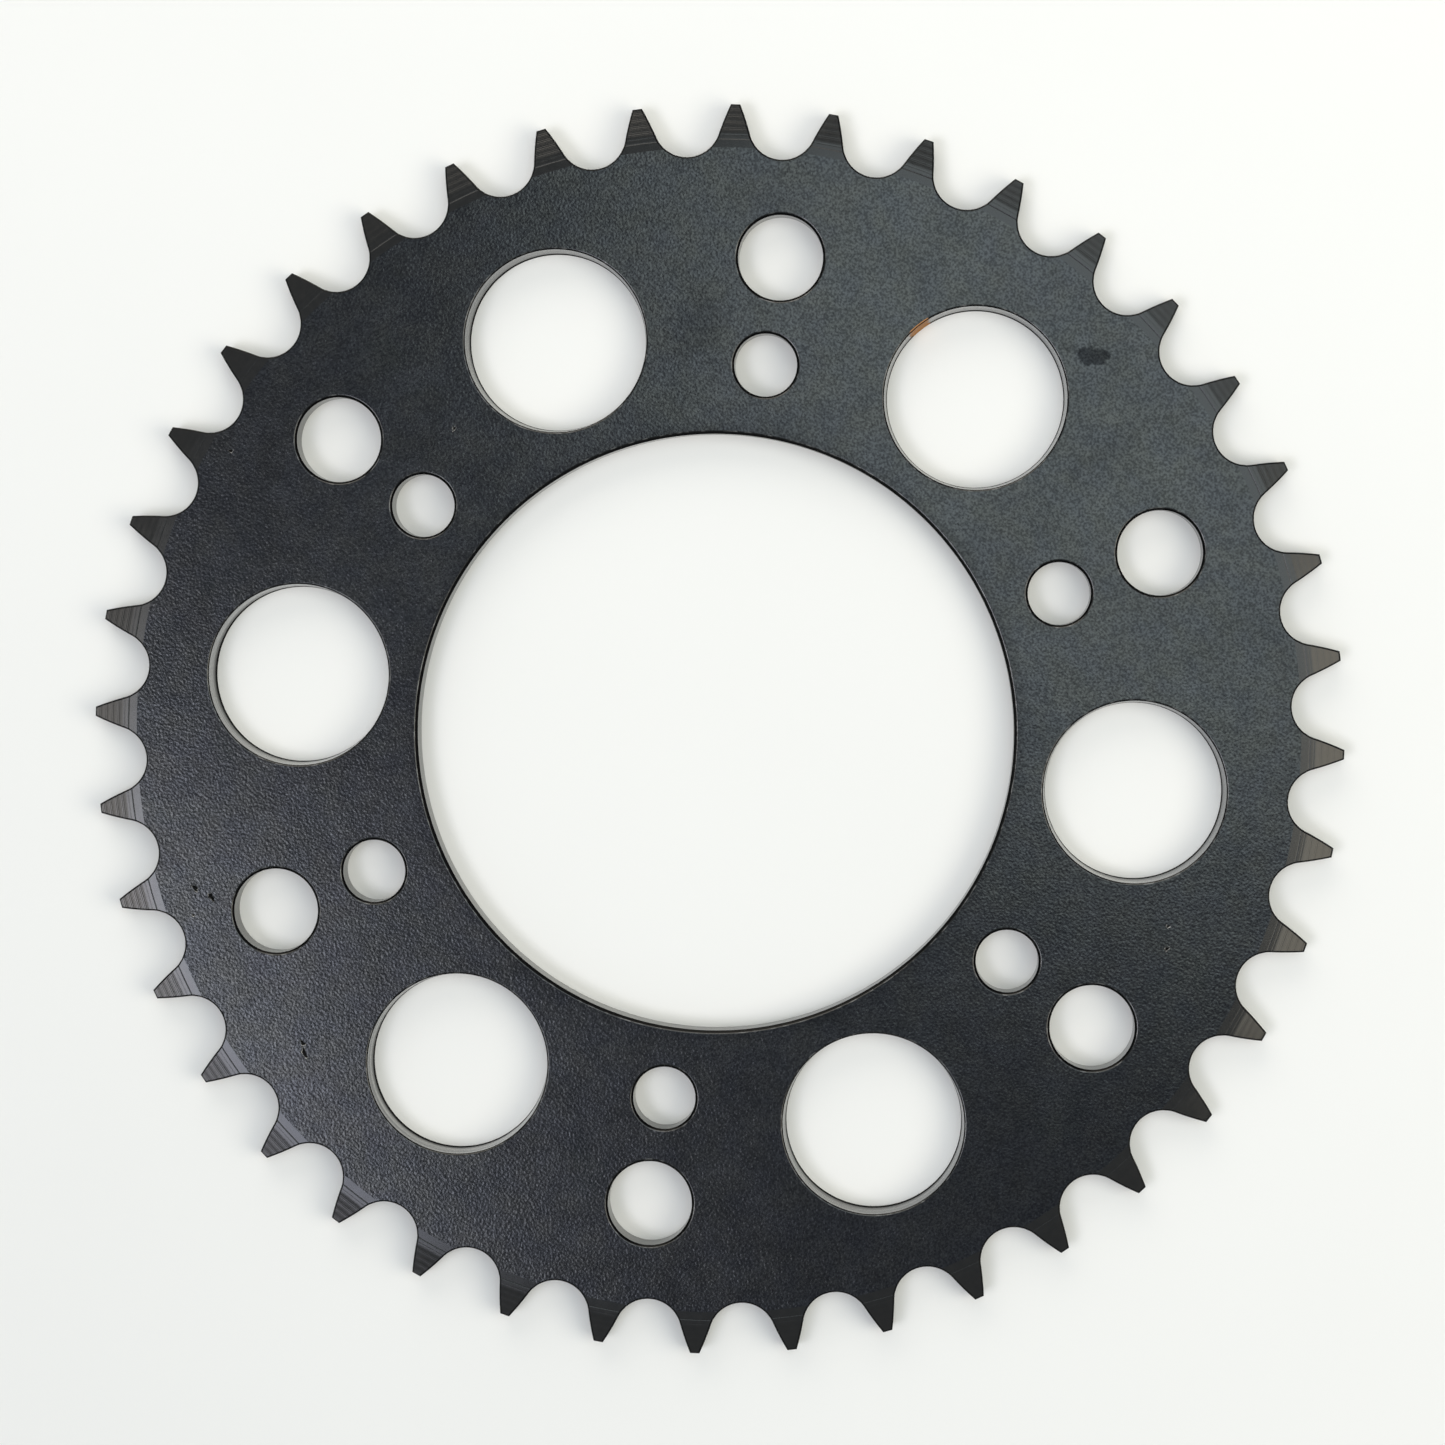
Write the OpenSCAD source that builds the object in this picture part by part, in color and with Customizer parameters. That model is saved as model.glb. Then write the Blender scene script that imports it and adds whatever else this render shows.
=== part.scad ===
// Rear sprocket for a 5/8 inch pitch, 1/4 inch wide motorcycle chain.
//
// One flat steel plate: 40 teeth on the rim, a plain centre bore, two rings of six bolt
// holes for two carrier patterns, and a ring of six lightening holes between them.
//
// Frame: the sprocket's axis is Z. Its inner face, which bolts to the carrier, lies on
// z = 0. The first tooth and the first bolt hole of each ring are on +X.

/* [Chain] */
// Chain pitch, from one roller to the next
chain_pitch = 15.875; // [15.8:0.005:15.95]
// Diameter of the chain's rollers
roller_d = 10.16; // [9.9:0.01:10.3]
// Number of teeth
teeth = 40; // [39:1:50]

/* [Teeth] */
// Height of a tooth above the bottom of the gap beside it
tooth_height = 8.8; // [8:0.1:9.4]
// Radius of the seat that a roller rests in
seat_r = 5.6; // [5.3:0.05:5.7]
// Where the turned relief starts, above the bottom of the tooth gap
relief_start = 1.5; // [0.5:0.1:3]
// Where the relief gets steeper, above the bottom of the tooth gap
relief_bend = 4.2; // [3.2:0.1:6]
// Slope of the relief's inner band, in degrees
inner_slope = 6; // [2:0.5:10]
// Slope of the relief's outer band, in degrees
outer_slope = 10; // [5:0.5:15]

/* [Plate] */
// Thickness of the plate
plate_t = 5.8; // [5.2:0.1:6.2]
// Diameter of the centre bore
bore_d = 100; // [90:0.5:103]
// Chamfer on both edges of the bore
bore_chamfer = 0.5; // [0.2:0.1:0.6]

/* [Bolt holes] */
// Pitch circle of the inner ring of bolt holes
inner_pcd = 124; // [122:0.5:126]
// Diameter of an inner bolt hole
inner_hole_d = 10.5; // [8.5:0.1:12]
// Pitch circle of the outer ring of bolt holes
outer_pcd = 160; // [158:0.5:162]
// Diameter of an outer bolt hole
outer_hole_d = 14.2; // [12:0.1:15]
// Chamfer on both edges of every bolt hole
bolt_chamfer = 0.4; // [0.2:0.1:0.6]

/* [Lightening holes] */
// Pitch circle of the lightening holes
light_pcd = 141.5; // [140:0.5:143]
// Diameter of a lightening hole at the outer face
light_hole_d = 30.5; // [24:0.5:31]
// How much narrower a lightening hole is at the inner face
light_taper = 1; // [0:0.1:1.4]
// Broken edge on both sides of every lightening hole
light_chamfer = 0.2; // [0.1:0.1:0.4]

/* [Hidden] */

// Every ring of holes has six, so the plate can be bolted on in six positions.
holes_per_ring = 6;
hole_step = 360 / holes_per_ring;

// Tooth form of a roller-chain wheel. A gap is a round roller seat between two convex
// flank arcs, which meet the seat tangentially at each end of the seating angle.
pitch_r = chain_pitch / (2 * sin(180 / teeth));
root_r = pitch_r - roller_d / 2;
tip_r = root_r + tooth_height;
tooth_step = 360 / teeth;
seat_half_angle = (140 - 90 / teeth) / 2;
flank_r = 0.12 * roller_d * (teeth + 2);
seat_centre_r = root_r + seat_r;

// Where a seat ends and its flank begins: out along the gap's centre line, and across it.
seat_end_out = seat_centre_r - seat_r * cos(seat_half_angle);
seat_end_across = seat_r * sin(seat_half_angle);
flank_centre_out = seat_end_out - flank_r * cos(seat_half_angle);
flank_centre_across = seat_end_across + flank_r * sin(seat_half_angle);

// The relief is two bands on both sides of the teeth, each a shallow cone.
relief_r = root_r + relief_start;
bend_r = root_r + relief_bend;
bend_drop = (bend_r - relief_r) * tan(inner_slope);

// Cutters reach this far past the surfaces that they cut.
spare = 1;

// Takes off the edge of a hole in the inner face. The cone goes on past the hole's wall.
module chamfer_cone(d, chamfer) {
    translate([0, 0, -spare])
        cylinder(
            h = chamfer + 2 * spare,
            d1 = d + 2 * (chamfer + spare),
            d2 = d - 2 * spare,
            $fn = 120
        );
}

// A hole with a chamfer on both edges, which may be narrower at the inner face.
module chamfered_hole(d, chamfer, taper = 0) {
    // The wall keeps its slope up to the ends of the cutter.
    spread = taper * spare / plate_t;
    translate([0, 0, -spare])
        cylinder(
            h = plate_t + 2 * spare,
            d1 = d - taper - spread,
            d2 = d + spread,
            $fn = 120
        );
    chamfer_cone(d - taper, chamfer);
    translate([0, 0, plate_t])
        mirror([0, 0, 1])
            chamfer_cone(d, chamfer);
}

module hole_ring(pcd, d, chamfer, taper = 0, start_angle = 0) {
    for (i = [0 : holes_per_ring - 1])
        rotate(start_angle + i * hole_step)
            translate([pcd / 2, 0, 0])
                chamfered_hole(d, chamfer, taper);
}

// One tooth gap, with its centre line on +X: the roller seat and the space between the
// two flanks, out to past the tips.
module tooth_gap() {
    outer = tip_r + spare;
    translate([seat_centre_r, 0])
        circle(r = seat_r, $fn = 96);
    difference() {
        polygon([
            [seat_end_out, -seat_end_across],
            [outer, -seat_end_across - (outer - seat_end_out)],
            [outer, seat_end_across + (outer - seat_end_out)],
            [seat_end_out, seat_end_across]
        ]);
        for (side = [-1, 1])
            translate([flank_centre_out, side * flank_centre_across])
                circle(r = flank_r, $fn = 720);
    }
}

// The plate's outline seen along its axis, with the teeth but without any holes.
module toothed_outline() {
    difference() {
        circle(r = tip_r, $fn = 720);
        for (i = [0 : teeth - 1])
            rotate((i + 0.5) * tooth_step)
                tooth_gap();
    }
}

// What the lathe takes off one face of the rim, as half of its cross-section. The face is
// at y = 0 and the plate lies below it.
module relief_section() {
    inner = relief_r - spare;
    outer = tip_r + spare;
    polygon([
        [inner, spare * tan(inner_slope)],
        [bend_r, -bend_drop],
        [outer, -bend_drop - (outer - bend_r) * tan(outer_slope)],
        [outer, spare],
        [inner, spare]
    ]);
}

module rim_relief() {
    translate([0, 0, plate_t])
        rotate_extrude($fn = 360)
            relief_section();
    mirror([0, 0, 1])
        rotate_extrude($fn = 360)
            relief_section();
}

module sprocket_plate() {
    color([0.16, 0.17, 0.19])
        difference() {
            linear_extrude(height = plate_t)
                toothed_outline();
            rim_relief();
            chamfered_hole(bore_d, bore_chamfer);
            hole_ring(inner_pcd, inner_hole_d, bolt_chamfer);
            hole_ring(outer_pcd, outer_hole_d, bolt_chamfer);
            hole_ring(light_pcd, light_hole_d, light_chamfer, light_taper, hole_step / 2);
        }
}

sprocket_plate();
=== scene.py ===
# Looks of the rear sprocket: one steel plate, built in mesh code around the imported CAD
# frame, with procedural materials, a pale floor, soft studio light and a camera.

import math

import bmesh
import bpy
import numpy as np
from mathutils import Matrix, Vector
from mathutils.geometry import delaunay_2d_cdt


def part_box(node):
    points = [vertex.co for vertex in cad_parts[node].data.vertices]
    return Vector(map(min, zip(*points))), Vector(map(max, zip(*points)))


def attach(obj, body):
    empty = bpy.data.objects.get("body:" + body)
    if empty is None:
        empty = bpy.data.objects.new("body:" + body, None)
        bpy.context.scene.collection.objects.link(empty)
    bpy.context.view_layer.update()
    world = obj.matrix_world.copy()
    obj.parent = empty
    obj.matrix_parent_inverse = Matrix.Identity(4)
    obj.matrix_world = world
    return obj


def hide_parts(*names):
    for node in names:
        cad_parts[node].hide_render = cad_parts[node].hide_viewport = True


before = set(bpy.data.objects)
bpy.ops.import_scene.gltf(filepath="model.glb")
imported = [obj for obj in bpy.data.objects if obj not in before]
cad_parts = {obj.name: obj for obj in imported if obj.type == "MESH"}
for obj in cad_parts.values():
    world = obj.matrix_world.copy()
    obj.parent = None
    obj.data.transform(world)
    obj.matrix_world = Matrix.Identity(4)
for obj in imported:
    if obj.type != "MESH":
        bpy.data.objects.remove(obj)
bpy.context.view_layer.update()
low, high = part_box("sprocket_plate")

# Lengths are in millimetres up to the finished mesh, and angles in radians.
MM = 0.001
THICK = (high.z - low.z) / MM
TIP_R = high.x / MM

# ---- Tooth form: the same driving sizes as the CAD part ----

CHAIN_PITCH = 15.875
ROLLER_D = 10.16
TEETH = 40
SEAT_R = 5.6

STEP = 2 * math.pi / TEETH
ROOT_R = CHAIN_PITCH / (2 * math.sin(STEP / 2)) - ROLLER_D / 2
SEAT_HALF_ANGLE = math.radians((140 - 90 / TEETH) / 2)
SEAT_CENTRE = ROOT_R + SEAT_R
FLANK_R = 0.12 * ROLLER_D * (TEETH + 2)
FLANK_OUT = SEAT_CENTRE - (SEAT_R + FLANK_R) * math.cos(SEAT_HALF_ANGLE)
FLANK_ACROSS = (SEAT_R + FLANK_R) * math.sin(SEAT_HALF_ANGLE)
FLANK_CENTRE = math.hypot(FLANK_OUT, FLANK_ACROSS)

# Turned relief on both sides of the teeth: two bands, each a shallow cone
RELIEF_R = ROOT_R + 1.5
BEND_R = ROOT_R + 4.2
INNER_SLOPE = math.tan(math.radians(6))
OUTER_SLOPE = math.tan(math.radians(10))

# Marks that the lathe tool left on the relief: two lines, each with its distance from the
# axis and its depth, and then grooves out to the tip
LINES = [(99.0, 0.035), (99.7, 0.015)]
LINE_HALF_WIDTH = 0.07
GROOVE_PITCH = 0.27
GROOVE_DEPTH = 0.020
# Over this distance the grooves get deeper and then shallower again, down to that share
GROOVE_BEAT = 1.1
SHALLOWEST = 0.3

# ---- Holes ----

# Each ring of holes: the diameter of the circle that they lie on, how many, the angle of the
# first in degrees, their diameter, how much narrower they are at the inner face, the chamfer,
# the steps round their mesh, and the kind of wall
HOLES = [
    {"circle": 0, "count": 1, "first": 0, "d": 100, "taper": 0, "chamfer": 0.5,
     "steps": 288, "wall": "coat"},
    {"circle": 124, "count": 6, "first": 0, "d": 10.5, "taper": 0, "chamfer": 0.4,
     "steps": 72, "wall": "coat"},
    {"circle": 160, "count": 6, "first": 0, "d": 14.2, "taper": 0, "chamfer": 0.4,
     "steps": 80, "wall": "coat"},
    {"circle": 141.5, "count": 6, "first": 30, "d": 30.5, "taper": 1, "chamfer": 0.2,
     "steps": 144, "wall": "cut"},
]

# Nicks in the outer face: distance from the axis, angle in degrees, length, width and depth,
# and the direction of their length in degrees
NICKS = [
    (91.7, 234.6, 1.5, 0.8, 0.16, 350),
    (89.5, 236.0, 1.8, 0.8, 0.20, 340),
    (93.4, 237.2, 0.7, 0.5, 0.10, 0),
    (88.0, 255.9, 2.6, 0.7, 0.16, 330),
    (87.2, 254.9, 1.3, 0.7, 0.16, 350),
    (83.6, 12.5, 1.1, 0.7, 0.12, 70),
    (82.2, 14.9, 0.8, 0.6, 0.10, 20),
    (67.1, 168.5, 0.9, 0.6, 0.10, 100),
    (94.1, 187.7, 0.9, 0.6, 0.12, 40),
]
NICK_RINGS = 4
NICK_SPOKES = 14

# ---- Roundings and mesh resolution ----

# Radius of the teeth's edges and of the holes' rims, and the directions of their steps
EDGE = 0.28
EDGE_TURNS = [math.radians(a) for a in (0, 30, 60, 90)]
RIM_ROUND = 0.25
RIM_TURNS = [math.radians(a) for a in (0, 15, 30, 45)]

# Columns across a tooth, rows for each groove, and turn of the roller seat from row to row
COLUMNS = 4
ROWS_PER_GROOVE = 3
SEAT_ROW_STEP = math.radians(4)

# Triangles fill the face out to here, and each tooth has its own grid from here on
FILL_R = 95.0

# Faces that meet at more than this angle have a sharp edge between them
SHARP = math.radians(35)
# A face whose normal is at least this upright is flat
FLAT = 0.99999
# Points this close are one point: in millimetres on the flat face, in metres when welding
SAME_POINT = 1e-6
# A triangle is kept if its middle lies no further than this inside a hole's rim
NEAR = 0.001

# Kinds of surface, in the order of the mesh's material slots
KINDS = ["face", "turned", "coat", "cut", "edge", "rim", "nick"]


# ---- Outline of a tooth ----

def seat_point(phi, inset):
    """Radius and angle from the tooth's centre line of a point on the roller seat."""
    out = SEAT_CENTRE - (SEAT_R + inset) * math.cos(phi)
    across = (SEAT_R + inset) * math.sin(phi)
    return math.hypot(out, across), STEP / 2 - math.atan2(across, out)


def flank_point(theta, inset):
    """The same for a point on the flank, by the direction of the flank's normal."""
    out = FLANK_OUT + (FLANK_R - inset) * math.cos(theta)
    across = FLANK_ACROSS - (FLANK_R - inset) * math.sin(theta)
    return math.hypot(out, across), STEP / 2 - math.atan2(across, out)


def flank_normal_at(radius, inset):
    """Direction of the flank's normal where the flank is that far from the axis."""
    reach = FLANK_R - inset
    at_axis = math.acos((radius**2 + FLANK_CENTRE**2 - reach**2) / (2 * radius * FLANK_CENTRE))
    angle = math.atan2(FLANK_ACROSS, FLANK_OUT) - at_axis
    return math.atan2(FLANK_ACROSS - radius * math.sin(angle), radius * math.cos(angle) - FLANK_OUT)


def outline_point(radius, inset):
    """The outline's point, inset by that much, that belongs to a row of the tooth's grid.

    Rows are named by their radius on the grid's own edge, which is inset by EDGE."""
    if radius >= TIP_R - EDGE:
        return flank_point(flank_normal_at(TIP_R - inset, inset), inset)
    seat = SEAT_R + EDGE
    cos_phi = (SEAT_CENTRE**2 + seat**2 - radius**2) / (2 * SEAT_CENTRE * seat)
    phi = math.acos(min(1, max(-1, cos_phi)))
    if phi < SEAT_HALF_ANGLE:
        return seat_point(phi, inset)
    return flank_point(flank_normal_at(radius, EDGE), inset)


def relief_drop(radius):
    """How far the turned side of a tooth lies below the plate's face."""
    if radius <= RELIEF_R:
        return 0.0
    radius = min(radius, TIP_R)
    drop = (min(radius, BEND_R) - RELIEF_R) * INNER_SLOPE + max(radius - BEND_R, 0) * OUTER_SLOPE
    for line_r, depth in LINES:
        drop += depth * max(0, 1 - abs(radius - line_r) / LINE_HALF_WIDTH)
    if radius > BEND_R:
        out = 2 * math.pi * (radius - BEND_R)
        beat = (1 + SHALLOWEST) / 2 - (1 - SHALLOWEST) / 2 * math.cos(out / GROOVE_BEAT)
        drop += GROOVE_DEPTH * beat * (1 - math.cos(out / GROOVE_PITCH)) / 2
    return drop


def row_radii():
    """Radii of the grid's rows: close where the seat curves away and where the tool marks are."""
    rows = [FILL_R]
    phi = 0
    while seat_point(phi, EDGE)[0] < RELIEF_R - EDGE:
        rows.append(seat_point(phi, EDGE)[0])
        phi += SEAT_ROW_STEP
    rows += [RELIEF_R, RELIEF_R + EDGE, RELIEF_R + 4 * EDGE]
    for line_r, _ in LINES:
        rows += [line_r + share * LINE_HALF_WIDTH for share in (-2, -1, 0, 1, 2)]
    fine = GROOVE_PITCH / ROWS_PER_GROOVE
    rows += list(np.arange(BEND_R, TIP_R - EDGE - fine / 2, fine))
    rows.append(TIP_R - EDGE)
    return rows


# ---- Patches: grids of points that are welded into one closed mesh ----

class Patches:
    """Half of the plate, from a face to the middle plane, as patches of points and faces."""

    def __init__(self):
        self.points = []
        self.faces = []
        self.kinds = []
        self.count = 0

    def add(self, points, faces, kind):
        self.points.append(np.asarray(points, float).reshape(-1, 3))
        self.faces += [[corner + self.count for corner in face] for face in faces]
        self.kinds += [KINDS.index(kind)] * len(faces)
        self.count += len(self.points[-1])

    def add_grid(self, points, kind):
        """A grid of rows by columns of points, with a quad in every cell."""
        rows, columns = len(points), len(points[0])
        faces = [
            [i * columns + j, i * columns + j + 1, (i + 1) * columns + j + 1, (i + 1) * columns + j]
            for i in range(rows - 1)
            for j in range(columns - 1)
        ]
        self.add(points, faces, kind)


def turned(points, angle):
    """Points turned about the Z axis."""
    c, s = math.cos(angle), math.sin(angle)
    return np.asarray(points) @ np.array([[c, s, 0], [-s, c, 0], [0, 0, 1]])


def polar(radius, angle, z):
    return [radius * math.cos(angle), radius * math.sin(angle), z]


def add_tooth_sides(patches):
    """The flat strip inside each tooth and the turned side of the tooth, with its tool marks."""
    radii = row_radii()
    shares = np.linspace(-1, 1, COLUMNS + 1)
    grid = []
    for radius in radii:
        reach = STEP / 2 if radius <= ROOT_R - EDGE else outline_point(radius, EDGE)[1]
        grid.append([polar(radius, share * reach, THICK - relief_drop(radius)) for share in shares])
    flat = sum(radius <= RELIEF_R for radius in radii)
    for k in range(TEETH):
        patches.add_grid(turned(grid[:flat], k * STEP), "face")
        patches.add_grid(turned(grid[flat - 1:], k * STEP), "turned")


def add_tooth_walls(patches):
    """The rounded edge of each tooth and gap, and the wall below it."""
    radii = [r for r in row_radii() if r > ROOT_R - EDGE - SAME_POINT]
    shares = np.linspace(-1, 1, COLUMNS + 1)[1:-1]
    rounded = [(EDGE * (1 - math.sin(turn)), EDGE * (1 - math.cos(turn))) for turn in EDGE_TURNS]
    loops = []
    for inset, drop in rounded + [(0, None)]:
        side = [outline_point(r, inset) for r in radii]
        tip = [(side[-1][0], share * side[-1][1]) for share in shares]
        chain = [(r, -a) for r, a in side] + tip + side[::-1]
        heights = [THICK / 2 if drop is None else THICK - relief_drop(r) - drop for r, _ in chain]
        loops.append([polar(r, a, z) for (r, a), z in zip(chain, heights)])
    for k in range(TEETH):
        patches.add_grid(turned(loops[:-1], k * STEP), "edge")
        patches.add_grid(turned(loops[-2:], k * STEP), "cut")


def hole_centres(hole):
    for i in range(hole["count"]):
        angle = math.radians(hole["first"]) + 2 * math.pi * i / hole["count"]
        yield np.array([hole["circle"] / 2 * math.cos(angle), hole["circle"] / 2 * math.sin(angle)])


def hole_rings(hole, outer):
    """Radius and height of the rings round a hole, from one face to the middle of the plate.

    The rounded rim comes first, then the foot of the chamfer and the middle of the wall."""
    def wall_r(z):
        up = z / THICK if outer else 1 - z / THICK
        return hole["d"] / 2 - hole["taper"] / 2 * (1 - up)

    start = wall_r(THICK) + hole["chamfer"] + RIM_ROUND * math.tan(RIM_TURNS[-1] / 2)
    rim = [
        (start - RIM_ROUND * math.sin(turn), THICK - RIM_ROUND * (1 - math.cos(turn)))
        for turn in RIM_TURNS
    ]
    foot = THICK - hole["chamfer"]
    return rim + [(wall_r(foot), foot), (wall_r(THICK / 2), THICK / 2)]


def circle(centre, radius, steps, z):
    """A closed ring of points: the last repeats the first."""
    angles = np.linspace(0, 2 * math.pi, steps + 1)
    return [[centre[0] + radius * math.cos(a), centre[1] + radius * math.sin(a), z] for a in angles]


def add_holes(patches, outer):
    """Rounded rim, chamfer and wall of every hole."""
    for hole in HOLES:
        for centre in hole_centres(hole):
            rings = [circle(centre, radius, hole["steps"], z) for radius, z in hole_rings(hole, outer)]
            patches.add_grid(rings[:-2], "rim")
            patches.add_grid(rings[-3:-1], "edge")
            patches.add_grid(rings[-2:], hole["wall"])


def nick_points():
    """Points over every nick, each with its depth: rings that fade out to the face."""
    points = []
    for radius, angle, length, width, depth, heading in NICKS:
        centre = np.array(polar(radius, math.radians(angle), 0))[:2]
        along = np.array([math.cos(math.radians(heading)), math.sin(math.radians(heading))])
        across = np.array([-along[1], along[0]])
        points.append((centre, depth))
        for share in np.arange(1, NICK_RINGS + 1) / NICK_RINGS:
            for turn in np.arange(NICK_SPOKES) * 2 * math.pi / NICK_SPOKES:
                ragged = 1 + 0.25 * math.sin(3 * turn + radius) + 0.15 * math.sin(5 * turn + angle)
                offset = along * math.cos(turn) * length / 2 + across * math.sin(turn) * width / 2
                points.append((centre + offset * share * ragged, depth * (1 - share**2)))
    return points


def add_flat_face(patches, outer):
    """The flat face between the holes and the teeth, as triangles, with its nicks."""
    rings = [turned(circle((0, 0), FILL_R, TEETH * COLUMNS, THICK), -STEP / 2)[:-1]]
    holes = []
    for hole in HOLES:
        rim_r = hole_rings(hole, outer)[0][0]
        for centre in hole_centres(hole):
            rings.append(circle(centre, rim_r, hole["steps"], THICK)[:-1])
            holes.append((centre, rim_r))
    points, edges = [], []
    for ring in rings:
        first = len(points)
        points += [Vector((p[0], p[1])) for p in ring]
        edges += [(first + i, first + (i + 1) % len(ring)) for i in range(len(ring))]
    nicks = nick_points() if outer else []
    depths = dict(enumerate((depth for _, depth in nicks), len(points)))
    points += [Vector(place) for place, _ in nicks]
    found = delaunay_2d_cdt(points, edges, [], 0, SAME_POINT)
    sunk = [max((depths.get(i, 0) for i in made_of), default=0) for made_of in found[3]]
    triangles = {"face": [], "nick": []}
    for face in found[2]:
        middle = np.mean([found[0][i] for i in face], axis=0)
        if all(np.linalg.norm(middle - centre) > radius - NEAR for centre, radius in holes):
            triangles["nick" if any(sunk[i] for i in face) else "face"].append(list(face))
    places = [[p[0], p[1], THICK - depth] for p, depth in zip(found[0], sunk)]
    for kind, faces in triangles.items():
        patches.add(places, faces, kind)


def half_plate(outer):
    """One half of the plate, with its face up: the outer half, or the inner half turned over."""
    patches = Patches()
    add_tooth_sides(patches)
    add_tooth_walls(patches)
    add_holes(patches, outer)
    add_flat_face(patches, outer)
    return patches


def shading_group(edge, side):
    """Faces shade smoothly only into faces of the same material, and flat into flat."""
    face = edge.link_faces[side]
    return face.material_index, abs(face.normal.z) > FLAT


def plate_mesh():
    """Both halves of the plate welded into one closed mesh, in metres."""
    outer, inner = half_plate(True), half_plate(False)
    upper = np.concatenate(outer.points)
    lower = np.concatenate(inner.points) * [1, 1, -1] + [0, 0, THICK]
    points = np.concatenate([upper, lower]) * MM + [0, 0, low.z]
    faces = outer.faces + [[i + len(upper) for i in face] for face in inner.faces]
    mesh = bpy.data.meshes.new("sprocket")
    mesh.from_pydata(points.tolist(), [], faces)
    mesh.polygons.foreach_set("material_index", outer.kinds + inner.kinds)
    work = bmesh.new()
    work.from_mesh(mesh)
    bmesh.ops.remove_doubles(work, verts=work.verts, dist=SAME_POINT)
    bmesh.ops.recalc_face_normals(work, faces=work.faces)
    for face in work.faces:
        face.smooth = True
    for edge in work.edges:
        one_group = shading_group(edge, 0) == shading_group(edge, -1)
        edge.smooth = one_group and edge.calc_face_angle(math.pi) < SHARP
    work.to_mesh(mesh)
    work.free()
    return mesh


# ---- Materials ----

class Nodes:
    """Shorthand for building one material's node tree."""

    def __init__(self, name):
        self.material = bpy.data.materials.new(name)
        self.material.use_nodes = True
        self.tree = self.material.node_tree
        self.shader = self.tree.nodes["Principled BSDF"]

    def new(self, kind, inputs=None, **settings):
        node = self.tree.nodes.new(kind)
        for key, value in settings.items():
            setattr(node, key, value)
        for key, value in (inputs or {}).items():
            if isinstance(value, bpy.types.NodeSocket):
                self.tree.links.new(value, node.inputs[key])
            else:
                node.inputs[key].default_value = value
        return node

    def place(self):
        return self.new("ShaderNodeTexCoord").outputs["Object"]

    def noise(self, size_mm, detail=2.0, roughness=0.5, offset=0.0):
        """Noise whose lumps are about that many millimetres across."""
        inputs = {0: self.place(), 1: (offset, offset, offset)}
        moved = self.new("ShaderNodeVectorMath", inputs, operation="ADD")
        return self.new("ShaderNodeTexNoise", {
            "Vector": moved.outputs[0],
            "Scale": 1 / (size_mm * MM),
            "Detail": detail,
            "Roughness": roughness,
        }).outputs["Fac"]

    def remap(self, value, low_in, high_in, low_out, high_out):
        return self.new("ShaderNodeMapRange", {
            "Value": value,
            "From Min": low_in,
            "From Max": high_in,
            "To Min": low_out,
            "To Max": high_out,
        }).outputs["Result"]

    def spread(self, noise, low_out, high_out):
        """Noise, which lies mostly between 0.3 and 0.7, spread over the range that is given."""
        return self.remap(noise, 0.3, 0.7, low_out, high_out)

    def math(self, operation, a, b):
        return self.new("ShaderNodeMath", {0: a, 1: b}, operation=operation).outputs[0]

    def mix(self, share, a, b):
        node = self.new("ShaderNodeMix", data_type="RGBA")
        sockets = [s for s in node.inputs if s.enabled]
        for socket, value in zip(sockets, (share, a, b)):
            if isinstance(value, bpy.types.NodeSocket):
                self.tree.links.new(value, socket)
            else:
                socket.default_value = value
        return [s for s in node.outputs if s.enabled][0]

    def bump(self, height, depth_mm):
        inputs = {"Height": height, "Distance": depth_mm * MM, "Strength": 1.0}
        return self.new("ShaderNodeBump", inputs).outputs["Normal"]

    def use(self, **sockets):
        """Sets the shader's sockets: names have underscores for spaces."""
        for key, value in sockets.items():
            socket = self.shader.inputs[key.replace("_", " ")]
            if isinstance(value, bpy.types.NodeSocket):
                self.tree.links.new(value, socket)
            else:
                socket.default_value = value


def spot(n, place, size, heading, ragged_mm, ragged):
    """1 inside an ellipse on the plate, fading to 0 outside it, with a ragged edge. In mm."""
    local = n.new("ShaderNodeMapping", {
        "Vector": n.place(),
        "Location": (place[0] * MM, place[1] * MM, 0),
        "Rotation": (0, 0, math.radians(heading)),
        "Scale": (size[0] * MM, size[1] * MM, 1),
    }, vector_type="TEXTURE")
    flat = n.new("ShaderNodeVectorMath", {0: local.outputs[0], 1: (1, 1, 0)}, operation="MULTIPLY")
    reach = n.new("ShaderNodeVectorMath", {0: flat.outputs[0]}, operation="LENGTH").outputs["Value"]
    uneven = n.spread(n.noise(ragged_mm, detail=3), -ragged, ragged)
    return n.remap(n.math("ADD", reach, uneven), 1.15, 0.85, 0, 1)


# Dull marks on the faces: place, half length and half width, heading in degrees, how much of
# the shine they take away, and how ragged their edge is
SMUDGES = [
    {"at": (11.2, 88.1), "size": (2.7, 1.6), "heading": 35, "strength": 0.62, "ragged": 0.3},
    {"at": (-43.9, 52.2), "size": (4.5, 5.5), "heading": 20, "strength": 0.2, "ragged": 0.8},
    {"at": (22.7, 77.7), "size": (7.0, 2.2), "heading": 75, "strength": 0.15, "ragged": 0.8},
    {"at": (7.5, 87.0), "size": (1.5, 0.6), "heading": 20, "strength": 0.25, "ragged": 0.5},
]
# The faces are duller next to the bore. Between these distances from the axis that fades.
BORE_BAND = (50.5, 52.6)
# A nick is painted black below the first depth, as painted shade in its pit, and scuffed steel above
# the second.
PIT_SHADE_DEPTHS = (0.08, 0.04)
# A cut wall is painted dark and dull below the first height over the inner face, as painted shade at
# its foot, and is pale streaked steel above the second.
FOOT_SHADE_HEIGHTS = (1.3, 3.2)
RUST = {"at": (-14.6, 74.4), "size": (1.9, 1.9), "heading": 0, "ragged": 0.25}


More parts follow.
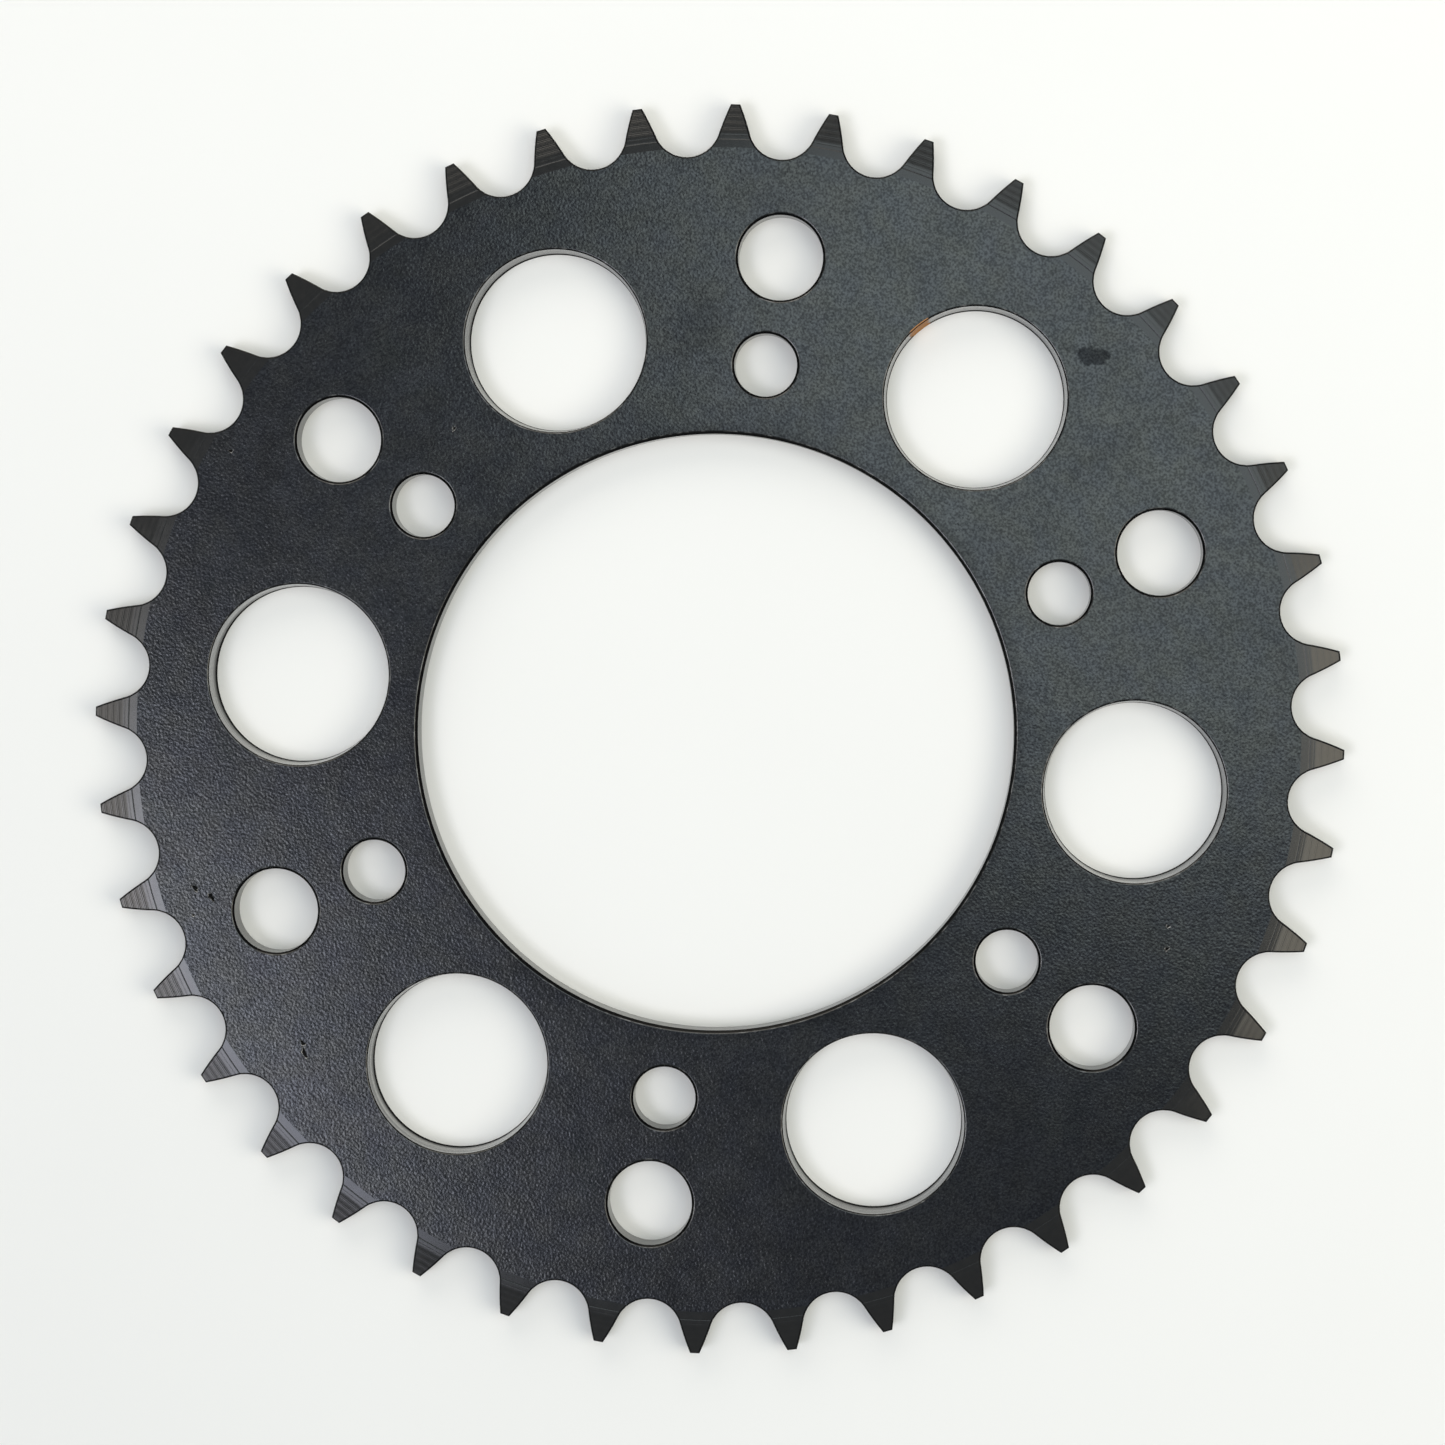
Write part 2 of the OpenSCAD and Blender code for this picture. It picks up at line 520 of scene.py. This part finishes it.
def distance_from_axis(n):
    """In metres, like every place that a node works with."""
    flat = n.new("ShaderNodeVectorMath", {0: n.place(), 1: (1, 1, 0)}, operation="MULTIPLY")
    return n.new("ShaderNodeVectorMath", {0: flat.outputs[0]}, operation="LENGTH").outputs["Value"]


def height_share(n, lower, upper):
    """0 at the lower height over the inner face and 1 at the upper one. In mm."""
    height = n.new("ShaderNodeSeparateXYZ", {"Vector": n.place()}).outputs["Z"]
    return n.remap(height, lower * MM, upper * MM, 0, 1)


def rusted(n):
    """1 on the patch of rust and 0 elsewhere."""
    return spot(n, RUST["at"], RUST["size"], RUST["heading"], 0.8, RUST["ragged"])


def face_material():
    """Satin black coating over fine pebbled steel, with faint clouds and smudges that dull it."""
    n = Nodes("coated_face")
    pebbles = n.noise(0.44, detail=1)
    grain = n.noise(0.36, detail=0, offset=0.2)
    clouds = n.noise(6, detail=4)
    shine = n.spread(n.noise(20, detail=3, offset=0.4), 0.50, 0.56)
    shine = n.math("MULTIPLY", shine, n.spread(clouds, 0.91, 1.09))
    shine = n.math("MULTIPLY", shine, n.spread(grain, 0.67, 1.33))
    for mark in SMUDGES:
        dull = spot(n, mark["at"], mark["size"], mark["heading"], 1.2, mark["ragged"])
        shine = n.math("MULTIPLY", shine, n.remap(dull, 0, 1, 1, 1 - mark["strength"]))
    band = n.remap(distance_from_axis(n), BORE_BAND[0] * MM, BORE_BAND[1] * MM, 0.75, 1)
    shine = n.math("MULTIPLY", shine, band)
    hue = n.remap(n.noise(5, detail=2, offset=0.7), 0.35, 0.65, 0, 1)
    n.use(
        Base_Color=n.mix(clouds, (0.0028, 0.0032, 0.0060, 1), (0.0042, 0.0042, 0.0062, 1)),
        Roughness=n.spread(clouds, 0.19, 0.21),
        Specular_IOR_Level=shine,
        Specular_Tint=n.mix(hue, (0.93, 0.965, 1.0, 1), (0.985, 1.0, 0.95, 1)),
        Normal=n.bump(pebbles, 0.027),
    )
    return n.material


def turned_material():
    """The turned sides of the teeth, where the coating is thinner and a little browner outwards."""
    n = Nodes("turned_steel")
    streaks = n.noise(1.2, detail=3)
    outwards = n.remap(distance_from_axis(n), RELIEF_R * MM, (BEND_R + 2) * MM, 0, 1)
    n.use(
        Base_Color=n.mix(streaks, (0.010, 0.010, 0.0105, 1), (0.015, 0.0145, 0.014, 1)),
        Roughness=n.spread(streaks, 0.17, 0.20),
        Specular_Tint=n.mix(outwards, (0.93, 0.96, 1.0, 1), (1.0, 0.98, 0.96, 1)),
        Normal=n.bump(streaks, 0.002),
    )
    return n.material


def bands(n):
    """Streaks that run round a wall, from the drill or the cutter: they change mostly with height."""
    squashed = n.new("ShaderNodeVectorMath", {0: n.place(), 1: (0.03, 0.03, 1)}, operation="MULTIPLY")
    return n.new("ShaderNodeTexNoise", {
        "Vector": squashed.outputs[0], "Scale": 1 / (1.6 * MM), "Detail": 2.0, "Roughness": 0.6,
    }).outputs["Fac"]


def coat_material():
    """Smooth coated walls of the bore and the bolt holes."""
    n = Nodes("coated_wall")
    grain = n.noise(0.4, detail=2)
    n.use(
        Base_Color=n.mix(grain, (0.020, 0.021, 0.021, 1), (0.040, 0.041, 0.041, 1)),
        Roughness=n.spread(bands(n), 0.12, 0.20),
        Normal=n.bump(grain, 0.002),
    )
    return n.material


def cut_material():
    """Streaked walls of the lightening holes and the tooth gaps, with one patch of rust.

    They are pale streaked steel towards the outer face, and dark and dull towards the inner face, as
    painted shade at the wall's foot."""
    n = Nodes("cut_steel")
    grain = n.noise(0.5, detail=3)
    # 0 in the painted shade at the wall's foot, which is dark and unreflecting, and 1 higher up, where
    # the wall is pale streaked steel.
    smooth = height_share(n, *FOOT_SHADE_HEIGHTS)
    streaks = n.math("MULTIPLY", n.remap(bands(n), 0.4, 0.6, 0.3, 1), smooth)
    steel = n.mix(streaks, (0.015, 0.015, 0.015, 1), (0.300, 0.303, 0.303, 1))
    rust = rusted(n)
    orange = n.mix(grain, (0.32, 0.13, 0.04, 1), (0.55, 0.27, 0.10, 1))
    n.use(
        Base_Color=n.mix(rust, steel, orange),
        Roughness=n.remap(rust, 0, 1, 0.18, 0.8),
        Specular_IOR_Level=n.remap(smooth, 0, 1, 0, 0.5),
        Normal=n.bump(grain, 0.003),
    )
    return n.material


def painted_shade_edge_material():
    """The chamfers of the holes and the thin rounded edge of the teeth, near black and barely
    reflecting, as painted shade for their dark outline.
    """
    n = Nodes("painted_shade_edge")
    grain = n.noise(0.8, detail=3)
    # Near-black colour and weak reflection: painted shade for the dark outline of these edges.
    n.use(
        Base_Color=n.mix(grain, (0.001, 0.001, 0.001, 1), (0.003, 0.003, 0.003, 1)),
        Roughness=n.spread(grain, 0.28, 0.36),
        Specular_IOR_Level=0.1,
        Normal=n.bump(grain, 0.001),
    )
    return n.material


def rim_material():
    """The rounded rim of every hole, with lighter rubbed patches that are partly wear and partly
    painted highlight for the rim's bright line, and with the rust.
    """
    n = Nodes("worn_rim_and_highlight")
    # Lighter patches and a stronger reflection: partly wear, partly painted highlight for the rim's
    # bright line.
    wear_and_highlight = n.remap(n.noise(1.5, detail=4), 0.5, 0.65, 0, 1)
    steel = n.mix(wear_and_highlight, (0.006, 0.006, 0.006, 1), (0.100, 0.100, 0.100, 1))
    rust = rusted(n)
    n.use(
        Base_Color=n.mix(rust, steel, (0.40, 0.18, 0.06, 1)),
        Roughness=n.remap(rust, 0, 1, 0.18, 0.8),
        Specular_IOR_Level=0.6,
        Normal=n.bump(wear_and_highlight, 0.002),
    )
    return n.material


def nick_material():
    """The nicks, where a knock went through the coating: scuffed steel round a pit that is painted
    black, as painted shade.
    """
    n = Nodes("nicked_steel")
    # Deeper than the first depth the pit is painted black and unreflecting, as painted shade in the
    # recess.
    shallow = height_share(n, *[THICK - depth for depth in PIT_SHADE_DEPTHS])
    scuff = n.math("MULTIPLY", n.remap(n.noise(0.35, detail=3), 0.4, 0.6, 0, 1), shallow)
    n.use(
        Base_Color=n.mix(scuff, (0.003, 0.003, 0.003, 1), (0.32, 0.32, 0.32, 1)),
        Roughness=n.remap(scuff, 0, 1, 0.25, 0.35),
        Metallic=scuff,
        Specular_IOR_Level=n.remap(shallow, 0, 1, 0.05, 0.5),
        Normal=n.bump(scuff, 0.03),
    )
    return n.material


def floor_material():
    """Matt off-white board."""
    n = Nodes("floor")
    mottle = n.noise(60, detail=2)
    colour = n.mix(mottle, (0.86, 0.86, 0.86, 1), (0.88, 0.88, 0.88, 1))
    n.use(Base_Color=colour, Roughness=0.8, Specular_IOR_Level=0.1)
    return n.material


MATERIALS = {
    "face": face_material,
    "turned": turned_material,
    "coat": coat_material,
    "cut": cut_material,
    "edge": painted_shade_edge_material,
    "rim": rim_material,
    "nick": nick_material,
}


def make_plate():
    mesh = plate_mesh()
    for kind in KINDS:
        mesh.materials.append(MATERIALS[kind]())
    plate = bpy.data.objects.new("sprocket", mesh)
    bpy.context.scene.collection.objects.link(plate)
    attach(plate, "root")
    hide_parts("sprocket_plate")


# ---- Floor, light and camera ----

# Camera: its lens, its place over the inner face's plane in metres, and its turn in degrees
LENS = 93.71
CAMERA_AT = (0.0097, 0.0400, 0.634)
CAMERA_TURN = (-2.17, 2.816, 37.88)

# Where the picture's right lies in the CAD frame. The lights' azimuths start there.
PICTURE_RIGHT = math.radians(38.06)

# Half the side of the floor in metres, and the gap between it and the plate in millimetres
FLOOR_HALF = 3.0
FLOOR_GAP = 0.02

# Each light is a disc that faces the plate's centre. Its azimuth is in the picture,
# anticlockwise from the right. Tilt is off the vertical, distance is from the plate's centre
# in metres, spread is half the angle that the disc fills as seen from there, and radiance is
# how bright the disc itself is. The low light at the back casts no shadow, so that the floor
# seen through the holes stays as pale as in the photo.
LIGHTS = [
    {"name": "key", "azimuth": 45.3, "tilt": 14.6, "distance": 1.0, "spread": 16.5,
     "radiance": (1.81, 2.06, 2.08), "shadow": True},
    {"name": "left_near", "azimuth": 212.2, "tilt": 23.5, "distance": 4.0, "spread": 10.3,
     "radiance": (4.91, 5.01, 5.69), "shadow": True},
    {"name": "left_far", "azimuth": 191.7, "tilt": 28.9, "distance": 4.0, "spread": 9.5,
     "radiance": (3.15, 3.02, 2.85), "shadow": True},
    {"name": "right", "azimuth": 350.2, "tilt": 41.7, "distance": 1.0, "spread": 18.2,
     "radiance": (3.30, 3.09, 2.58), "shadow": True},
    {"name": "back", "azimuth": 103.5, "tilt": 63.2, "distance": 1.0, "spread": 27.6,
     "radiance": (2.64, 2.49, 2.19), "shadow": False},
]
AMBIENT = (0.216, 0.242, 0.257)


def picture_direction(angle):
    """A direction in the picture, anticlockwise from its right, as a vector on the floor."""
    return Vector((math.cos(angle + PICTURE_RIGHT), math.sin(angle + PICTURE_RIGHT), 0))


def make_floor():
    z = low.z - FLOOR_GAP * MM
    corners = [(x * FLOOR_HALF, y * FLOOR_HALF, z) for x, y in [(-1, -1), (1, -1), (1, 1), (-1, 1)]]
    mesh = bpy.data.meshes.new("floor")
    mesh.from_pydata(corners, [], [(0, 1, 2, 3)])
    mesh.materials.append(floor_material())
    floor = bpy.data.objects.new("floor", mesh)
    bpy.context.scene.collection.objects.link(floor)


def make_lights():
    for light in LIGHTS:
        radius = light["distance"] * math.tan(math.radians(light["spread"]))
        strength = max(light["radiance"])
        data = bpy.data.lights.new(light["name"], "AREA")
        data.shape = "DISK"
        data.size = 2 * radius
        # A disc sends out pi times its radiance from each unit of its area.
        data.energy = math.pi * strength * math.pi * radius**2
        data.color = [channel / strength for channel in light["radiance"]]
        data.use_shadow = light["shadow"]
        lamp = bpy.data.objects.new(light["name"], data)
        tilt = math.radians(light["tilt"])
        away = picture_direction(math.radians(light["azimuth"])) * math.sin(tilt)
        away += Vector((0, 0, math.cos(tilt)))
        lamp.location = away * light["distance"] + Vector((0, 0, high.z))
        lamp.rotation_euler = away.to_track_quat("Z", "Y").to_euler()
        bpy.context.scene.collection.objects.link(lamp)
    world = bpy.data.worlds.new("studio")
    world.use_nodes = True
    world.node_tree.nodes["Background"].inputs["Color"].default_value = (*AMBIENT, 1)
    bpy.context.scene.world = world


def make_camera():
    data = bpy.data.cameras.new("camera")
    data.sensor_width = 36
    data.lens = LENS
    data.clip_start = 0.01
    data.clip_end = 20
    camera = bpy.data.objects.new("camera", data)
    camera.location = Vector(CAMERA_AT) + Vector((0, 0, low.z))
    camera.rotation_euler = [math.radians(turn) for turn in CAMERA_TURN]
    bpy.context.scene.collection.objects.link(camera)
    bpy.context.scene.camera = camera
    bpy.context.scene.view_settings.view_transform = "Standard"


make_plate()
make_floor()
make_lights()
make_camera()
